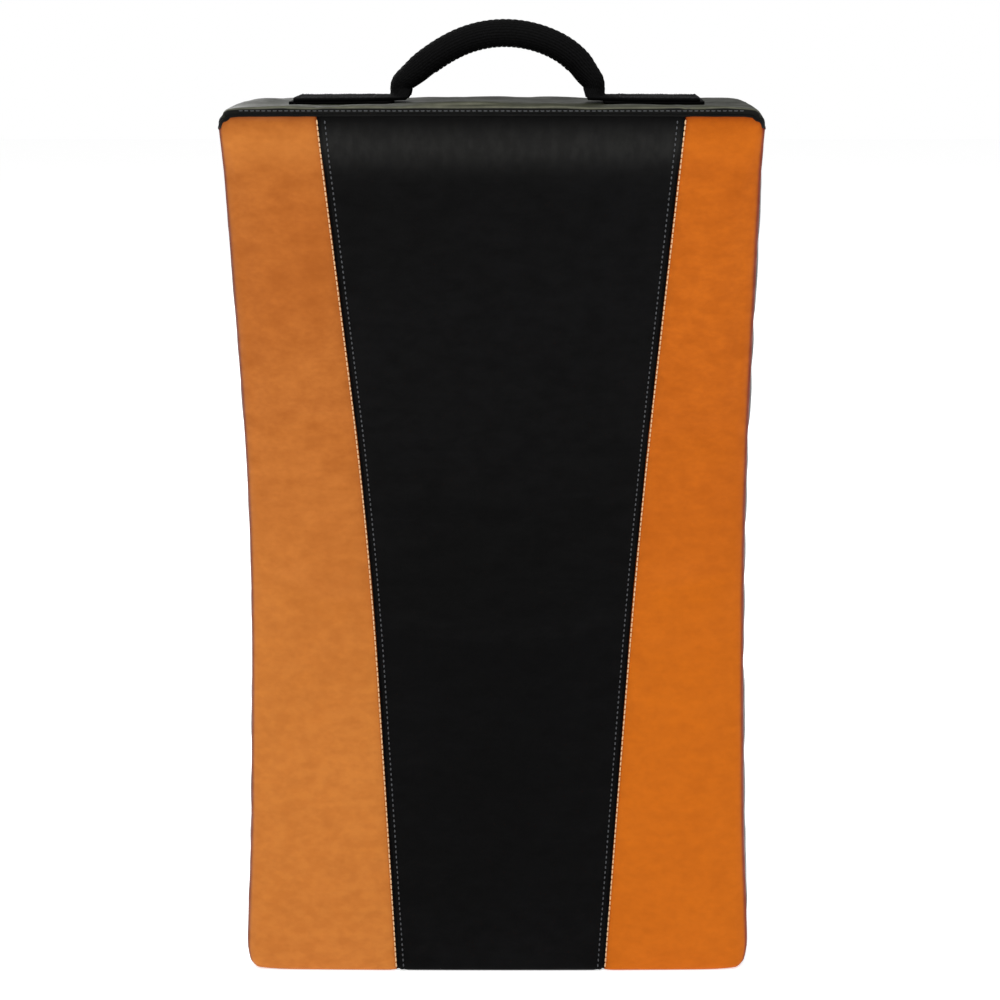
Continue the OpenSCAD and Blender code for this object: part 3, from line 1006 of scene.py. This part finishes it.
def arch(place):
    """The axis of a grip from foot to foot, as points (u, w, heading), and how high it rises."""
    half, r, slope = place.span / 2, place.arc, place.slope
    leg = (half - r * math.sin(slope) - ARCH_BEND * (1 - math.sin(slope))) / math.cos(slope)
    rise = ARCH_BEND * math.cos(slope) + leg * math.sin(slope) + r * (1 - math.cos(slope))
    bend = [(ARCH_BEND - half - ARCH_BEND * math.sin(t), ARCH_BEND * math.cos(t), t)
            for t in np.linspace(math.pi / 2, slope, 12)]
    top = [(-r * math.sin(t), rise - r + r * math.cos(t), t) for t in np.linspace(slope, 0, 24)]
    left = bend + top
    return left + [(-u, w, -t) for u, w, t in left[-2::-1]], rise


def half_strip(place, tail_end, axis):
    """The webbing's middle line from a tail to the top: rows of u, w, heading, curl and squeeze."""
    flat, bent = 1 - FOOT_SQUEEZE, math.pi / 2
    foot_u = place.span / 2 + CURL_R
    base = place.ground(-foot_u, 0) + (LAYERS - 0.5) * WEB_T
    tail = np.linspace(-tail_end, -foot_u - FOOT_BEND, 30)
    rows = [(u, base, 0.0, CURL_TAIL * max(0, k - 23) / 6, flat) for k, u in enumerate(tail)]
    for t in np.linspace(0, bent, 8)[1:]:
        u = -foot_u - FOOT_BEND + FOOT_BEND * math.sin(t)
        curl = CURL_TAIL + (CURL_BENT - CURL_TAIL) * t / bent
        rows.append((u, base + FOOT_BEND * (1 - math.cos(t)), t, curl, flat))
    for i, w in enumerate(np.linspace(base + FOOT_BEND, 0, 6)[1:]):
        curl = CURL_BENT + (CURL_HINGE - CURL_BENT) * (i + 1) / 5
        rows.append((-foot_u, w, bent, curl, flat))
    for u, w, t in axis[1:len(axis) // 2 + 1]:
        grown = float(smooth(w / CLOSED_AT))
        curl = CURL_HINGE + (CURL_CLOSED - CURL_HINGE) * grown
        rows.append((u - CURL_R * math.sin(t), w + CURL_R * math.cos(t), t, curl,
                     flat + FOOT_SQUEEZE * grown))
    return np.array(rows)


def strip_stations(place, tail_end):
    """The webbing's middle line from tail to tail: rows of u, w, heading, curl and squeeze."""
    axis, rise = arch(place)
    rows = half_strip(place, tail_end, axis)
    rows[:, 0] += (1 - rows[:, 4]) / FOOT_SQUEEZE * FOOT_IN
    rows = np.concatenate([rows, rows[-2::-1] * np.array([-1, 1, -1, 1, 1])])
    rows[:, 0] += place.skew * smooth(rows[:, 1] / rise)
    return rows


def resampled(stations, step):
    """Stations evenly spaced along the webbing, and how far along it they lie."""
    length = travelled(stations[:, :2])
    keep = np.concatenate([[True], np.diff(length) > 1e-6])
    length, stations = length[keep], stations[keep]
    where = np.arange(0, length[-1], step)
    return where, np.stack([np.interp(where, length, column) for column in stations.T], 1)


def ribs(s, where):
    """Height of the herringbone ribs at s across and where along the webbing."""
    zigzag = np.abs((s / RIB_COLUMN) % 2 - 1) * RIB_COLUMN
    ridge = np.abs(np.sin(np.pi * (where + zigzag) / RIB_PITCH)) ** 0.8
    selvedge = smooth((WEB_HALF - 1.6 * MM - np.abs(s)) / (0.8 * MM))
    return RIB_H * ridge * selvedge


def closed_strip(name, outer, inner):
    """A closed mesh between two grids of points that have the same rows and columns."""
    rows, cols = outer.shape[:2]
    verts = np.concatenate([outer.reshape(-1, 3), inner.reshape(-1, 3)])
    ids = np.arange(rows * cols).reshape(rows, cols)
    below = ids + rows * cols
    over = np.stack([ids[:-1, :-1], ids[:-1, 1:], ids[1:, 1:], ids[1:, :-1]], -1)
    under = np.stack([below[:-1, :-1], below[1:, :-1], below[1:, 1:], below[:-1, 1:]], -1)
    rim = np.concatenate([ids[0, :], ids[1:, -1], ids[-1, -2::-1], ids[-2:0:-1, 0]])
    after = np.roll(rim, -1)
    side = np.stack([rim, rim + rows * cols, after + rows * cols, after], -1)
    return new_mesh_object(name, verts, np.concatenate([over.reshape(-1, 4), under.reshape(-1, 4), side]))


def give_uv(obj, across, along):
    """UVs in metres: across and along are per vertex."""
    layer = obj.data.uv_layers.new(name="weave")
    loops = np.zeros(len(obj.data.loops), int)
    obj.data.loops.foreach_get("vertex_index", loops)
    layer.data.foreach_set("uv", np.stack([across[loops], along[loops]], 1).ravel())


def webbing_side(place, stations, s, lift):
    """One side of the webbing, in the handle's own axes: lift is how far it lies off the middle."""
    u, w, t, curl, squeeze = (column[:, None] for column in stations.T)
    k = np.maximum(curl / CURL_R, 1e-3)
    away = squeeze * (np.cos(k * s) - 1) / k + lift * np.cos(k * s)
    across = np.sin(k * s) / k + lift * np.sin(k * s)
    return u - np.sin(t) * away, across, w + np.cos(t) * away, curl < 1e-6


def handle_webbing(name, place, tail_end):
    """One length of webbing: flat tails, and a grip where it is rolled round the rope."""
    where, stations = resampled(strip_stations(place, tail_end), 0.75 * MM)
    s = np.linspace(-WEB_HALF, WEB_HALF, 66)
    rib = ribs(s[None, :], where[:, None])
    low, edge = (np.array([place.ground(u, off) for u in stations[:, 0]])[:, None] for off in (0, PROBE))
    grids = []
    for lift, thick in ((WEB_T / 2 + rib, WEB_T + rib), (np.full(rib.shape, -WEB_T / 2), 0)):
        u, across, w, is_tail = webbing_side(place, stations, s, lift)
        floor = low + (edge - low) * np.minimum(np.abs(across) / PROBE, 1.3) ** 2
        lowest = floor + (LAYERS - 1) * WEB_T + thick
        grids.append(place.world(u, across, np.where(is_tail | (w < lowest), lowest, w)))
    obj = closed_strip(name, *grids)
    n = len(where)
    give_uv(obj, np.tile(s, 2 * n), np.tile(np.repeat(where, len(s)), 2))
    return obj


def grip_axis(place, lowest):
    """The part of a grip's axis that stands above a height, as points (u, w) and headings."""
    axis, rise = arch(place)
    high = [(u + place.skew * float(smooth(w / rise)), w, t) for u, w, t in axis if w > lowest]
    return np.array(high)[:, :2], np.array(high)[:, 2]


def grip_seam(name, place, body, tree):
    """The row of stitches that closes the rolled webbing along the underside of a grip."""
    pts, heading = grip_axis(place, CLOSED_AT)
    spots, normals = [], []
    for (u, w), t in zip(pts, heading):
        down = np.array([math.sin(t), 0, -math.cos(t)]) @ place.axes
        hit, _ = cast(tree, place.world(u, 0.6 * MM, w) + down * 16 * MM, -down)
        if hit is not None:
            spots.append(np.array(hit))
            normals.append(down)
    strand = Strand()
    stops = along(spots, 3.2 * MM)
    index = np.linspace(0, len(normals) - 1, len(stops)).round().astype(int)
    side = place.axes[1] * 1.6 * MM
    for i, (a, b, k) in enumerate(zip(stops, stops[1:], index)):
        turn = side if i % 2 else -side
        strand.stitch(a + turn, b - turn, normals[k], 0.4 * MM)
    finish_piece(strand.object(name + "_seam_stitching"), BLACK_THREAD, "webbing", body)


def rope_core(name, place, body):
    """The rope inside a grip: three strands laid round each other along the arch."""
    pts, heading = grip_axis(place, 0.8 * CLOSED_AT)
    length = travelled(pts)
    fine = np.linspace(0, length[-1], 160)
    u, w, t = (np.interp(fine, length, q) for q in (*pts.T, heading))
    strand = Strand(10)
    for k in range(3):
        lay = fine / ROPE_TURN * 2 * math.pi + k * 2 * math.pi / 3
        away, across = ROPE_LAY * np.cos(lay), ROPE_LAY * np.sin(lay)
        points = place.world(u - away * np.sin(t), across, w + away * np.cos(t))
        strand.tube(points, [ROPE_STRAND] * len(fine), place.axes[1] * 0.99 + place.axes[2] * 0.01)
    piece = strand.object(name + "_rope")
    finish_piece(piece, ROPE, "rope", body)
    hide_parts(name + "_core")


def under_patch(name, place, u0, u1, half, low, high):
    """A flat piece that follows the cover from height low to height high, between u0 and u1."""
    us, ss = np.linspace(u0, u1, 24), np.linspace(-half, half, 14)
    ground = np.array([[place.ground(u, s) for s in ss] for u in us])
    uu, vv = np.meshgrid(us, ss, indexing="ij")
    top, bottom = (place.world(uu, vv, ground + height) for height in (high, low))
    return closed_strip(name, top, bottom)


def tail_guides(place, side, near, far, half):
    """Lines of the box and cross sewn through a tail, as guide points above it."""
    a, b = side * near, side * far
    corners = [(a, -half), (b, -half), (b, half), (a, half)]
    for i, k in ((0, 1), (1, 2), (2, 3), (3, 0), (0, 2), (1, 3)):
        (u0, s0), (u1, s1) = corners[i], corners[k]
        t = np.linspace(0, 1, 40)
        yield place.world(u0 + (u1 - u0) * t, s0 + (s1 - s0) * t, np.full(40, 80 * MM))


def sew_tails(name, place, near, far, tree):
    """The box and cross through each tail, and the second layer of webbing folded under it."""
    strand = Strand()
    for side in (-1, 1):
        for guides in tail_guides(place, side, near + 7 * MM, far - 3 * MM, WEB_HALF - 3.5 * MM):
            sew(strand, guides, -place.axes[2], tree, pitch=3.2 * MM, radius=0.4 * MM)
        fold = under_patch(f"{name}_{'low' if side < 0 else 'high'}_fold", place,
                           side * (near - 4 * MM), side * (far + 0.5 * MM), WEB_HALF - 0.3 * MM,
                           0.02 * MM, (LAYERS - 1) * WEB_T - 0.05 * MM)
        unwoven = np.zeros(len(fold.data.vertices))
        give_uv(fold, unwoven, unwoven)
        finish_piece(fold, WEBBING, "webbing")
    finish_piece(strand.object(name + "_tail_stitching"), BLACK_THREAD, "webbing")


def build_handle(name, place, tails, parts):
    """A handle of the CAD frame whose body has its name: rope, webbing, stitching and inner patch."""
    near, far = tails
    rope_core(name, place, name)
    web = handle_webbing(name + "_webbing", place, far - TAIL_SHORT)
    finish_piece(web, WEBBING, "webbing", body=None)
    tree = surface_tree(web)
    grip_seam(name, place, name, tree)
    sew_tails(name, place, near, far - TAIL_SHORT, tree)
    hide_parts(*(f"{name}_{part}" for part in parts))
    start, end = (place.hinge + place.axes[2] * h for h in (BLEND_LOW, BLEND_HIGH))
    tuple(start)
    tuple(end)
    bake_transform(web)
    patch = under_patch(name + "_inner_patch", place, -far, far, WEB_HALF, -3.2 * MM, -1.7 * MM)
    finish_piece(patch, BACKING_CLOTH, "backing_cloth")
    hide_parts(name + "_backing")


tail_lo, tail_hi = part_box("top_handle_right_tail")
top_place = Place("top_handle_fold", X, Y, Z, span=131 * MM, arc=77 * MM, slope=44.6,
                  skew=5 * MM, shift=2.6 * MM)
build_handle("top_handle", top_place, (tail_lo.x, tail_hi.x), ("grip", "left_tail", "right_tail"))
upper_lo, upper_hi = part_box("left_handle_upper_tail")
for hand in ("left_handle", "right_handle"):
    hand_place = Place(hand + "_fold", Z, X, Y, span=150 * MM, arc=80 * MM, slope=42)
    hand_tails = (upper_lo.z - hand_place.hinge[2], upper_hi.z - hand_place.hinge[2])
    build_handle(hand, hand_place, hand_tails, ("grip", "upper_tail", "lower_tail"))


# ---- zip ----

TOOTH_PITCH, TOOTH_R = 2.0 * MM, 0.62 * MM
# one nylon loop: how far from the middle of the coil, how far out of the back, and how thick
TOOTH_SPREAD = (1.0, 0.95, 0.5, 0, -0.22, -0.2)
TOOTH_OUT = (-0.9, 0.3, 0.7, 0.6, 0.1, -0.8)
TOOTH_THICK = (0.8, 1, 1, 1.1, 1, 0.7)


def zip_teeth():
    """Two rows of nylon loops that mesh along the middle of the slot."""
    lo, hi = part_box("zip_coil")
    mid_z, half = (lo.z + hi.z) / 2, (hi.z - lo.z) / 2
    lean = math.atan2(ARM_RISE * 2, HEIGHT)
    up = np.array([0, math.sin(lean), math.cos(lean)])
    out = np.array([0, math.cos(lean), -math.sin(lean)])
    strand = Strand(8)
    for i in range(int((hi.x - lo.x) / TOOTH_PITCH)):
        for side in (-1, 1):
            x = lo.x + TOOTH_PITCH * (i + 0.5 + 0.25 * side)
            base = np.array([x, BACK + float(bow(mid_z)), mid_z]) + out * 0.2 * MM
            loop = [base + up * side * half * a + out * b * MM for a, b in zip(TOOTH_SPREAD, TOOTH_OUT)]
            strand.tube(loop, [TOOTH_R * r for r in TOOTH_THICK], X)
    piece = strand.object("zip_coil_teeth")
    finish_piece(piece, ZIP_NYLON, "zip_nylon")
    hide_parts("zip_coil")


def back_row(strand, x, z):
    """A row of stitches on the back, where x or z is a list of places."""
    guides = [(a, FAR, b) for a, b in zip(*np.broadcast_arrays(x, z))]
    sew(strand, guides, BEHIND, cover_tree, radius=0.4 * MM)


def zip_hems():
    """Stitching on the two back panels round the slot."""
    strand = Strand()
    ends = tape_low.z - 2.5 * MM, tape_high.z + 2.5 * MM
    for z in ends:
        back_row(strand, np.linspace(-SLOT_HALF, SLOT_HALF, 120), z)
    for x in (-SLOT_HALF - 3 * MM, SLOT_HALF + 3 * MM):
        back_row(strand, x, np.linspace(*ends, 10))
    finish_piece(strand.object("zip_hem_stitching"), BLACK_THREAD, "black_vinyl")


def edge_stitching():
    """Rows on the side gussets beside the back seam, and round the edge of the back."""
    strand = Strand()
    inset = 9 * MM
    zs = np.linspace(12 * MM, HEIGHT - 12 * MM, 160)
    for side in (-1, 1):
        guides = [(side * FAR, BACK - 7 * MM + float(bow(z)), z) for z in zs]
        sew(strand, guides, (-side, 0, 0), cover_tree, radius=0.4 * MM)
    for x in (-HALF_W + inset, HALF_W - inset):
        back_row(strand, x, zs)
    for z in (7 * MM, HEIGHT - 7 * MM):
        back_row(strand, np.linspace(-HALF_W + inset, HALF_W - inset, 120), z)
    finish_piece(strand.object("edge_stitching"), BLACK_THREAD, "black_vinyl")


def dress_cad_node(name, material, bevel=0.0):
    """Gives a CAD node its finish, and rounds its edges where bevel says how far."""
    node = frame["nodes"][name]
    node.data.materials.clear()
    node.data.materials.append(material)
    if bevel:
        edge = node.modifiers.new("edges", "BEVEL")
        edge.width, edge.segments, edge.limit_method = bevel, 3, "ANGLE"


zip_teeth()
zip_hems()
edge_stitching()
for name in ("zip_upper_tape", "zip_lower_tape"):
    dress_cad_node(name, TAPE_CLOTH)
dress_cad_node("zip_stops", ZIP_METAL, 0.4 * MM)
dress_cad_node("zip_slider", ZIP_METAL, 0.3 * MM)
dress_cad_node("zip_puller", ZIP_METAL, 0.35 * MM)
bpy.data.objects.remove(cover)


# ---- the camera, light and floor ----

CAMERA_PLACE = (41.2 * MM, -1327 * MM, 682 * MM)
CAMERA_DOWN, CAMERA_TURN = 12.79, 0.07
CAMERA_SHIFT = (-0.0525, -0.0670)
LENS = 69.86
WHITE = grey(1)
SKY_LIGHT = 0.38
FLOOR_HALF = 8


def make_camera():
    data = bpy.data.cameras.new("camera")
    camera = add_object("camera", data)
    data.lens = LENS
    data.shift_x, data.shift_y = CAMERA_SHIFT
    camera.location = CAMERA_PLACE
    camera.rotation_euler = (math.radians(90 - CAMERA_DOWN), 0, math.radians(CAMERA_TURN))
    bpy.context.scene.camera = camera


def area_light(name, location, target, size, power):
    data = bpy.data.lights.new(name, "AREA")
    data.shape = "RECTANGLE"
    data.size, data.size_y = size
    data.energy = power
    lamp = add_object(name, data)
    lamp.location = location
    lamp.rotation_euler = (Vector(target) - Vector(location)).to_track_quat("-Z", "Y").to_euler()


def make_floor():
    """A plain pale floor that glows a little, so that it meets the background without a line."""
    corners = [(x * FLOOR_HALF, y * FLOOR_HALF, 0) for x, y in ((-1, -1), (1, -1), (1, 1), (-1, 1))]
    floor = new_mesh_object("floor", corners, [(0, 1, 2, 3)])
    paint = Nodes("floor_paint")
    paint.set(Base_Color=linear(252), Roughness=0.9, Specular_IOR_Level=0.1)
    paint.set(Emission_Color=WHITE, Emission_Strength=0.6)
    floor.data.materials.append(paint.material)


def make_world():
    """A white background, which lights the scene less than it shows."""
    world = bpy.data.worlds.new("studio")
    world.use_nodes = True
    nodes, links = world.node_tree.nodes, world.node_tree.links
    sky = nodes["Background"]
    sky.inputs["Color"].default_value = WHITE
    sky.inputs["Strength"].default_value = SKY_LIGHT
    white = nodes.new("ShaderNodeBackground")
    white.inputs["Color"].default_value = WHITE
    rays = nodes.new("ShaderNodeLightPath")
    either = nodes.new("ShaderNodeMixShader")
    links.new(rays.outputs["Is Camera Ray"], either.inputs[0])
    links.new(sky.outputs[0], either.inputs[1])
    links.new(white.outputs[0], either.inputs[2])
    links.new(either.outputs[0], nodes["World Output"].inputs["Surface"])
    bpy.context.scene.world = world
    bpy.context.scene.view_settings.view_transform = "Standard"


make_camera()
make_floor()
make_world()
middle = (0, 0, HEIGHT / 2)
area_light("overhead", (0, -0.9, 3.1), (0, -0.3, 0), (5, 5), 60)
area_light("key", (-0.7, -2.3, 3.0), (0, 0, 0.1), (2, 2), 40)
area_light("fill", (2.0, -2.4, 1.0), middle, (1.6, 1.6), 4)
area_light("rear", (-1.4, 2.6, 1.9), middle, (1.8, 1.8), 26)
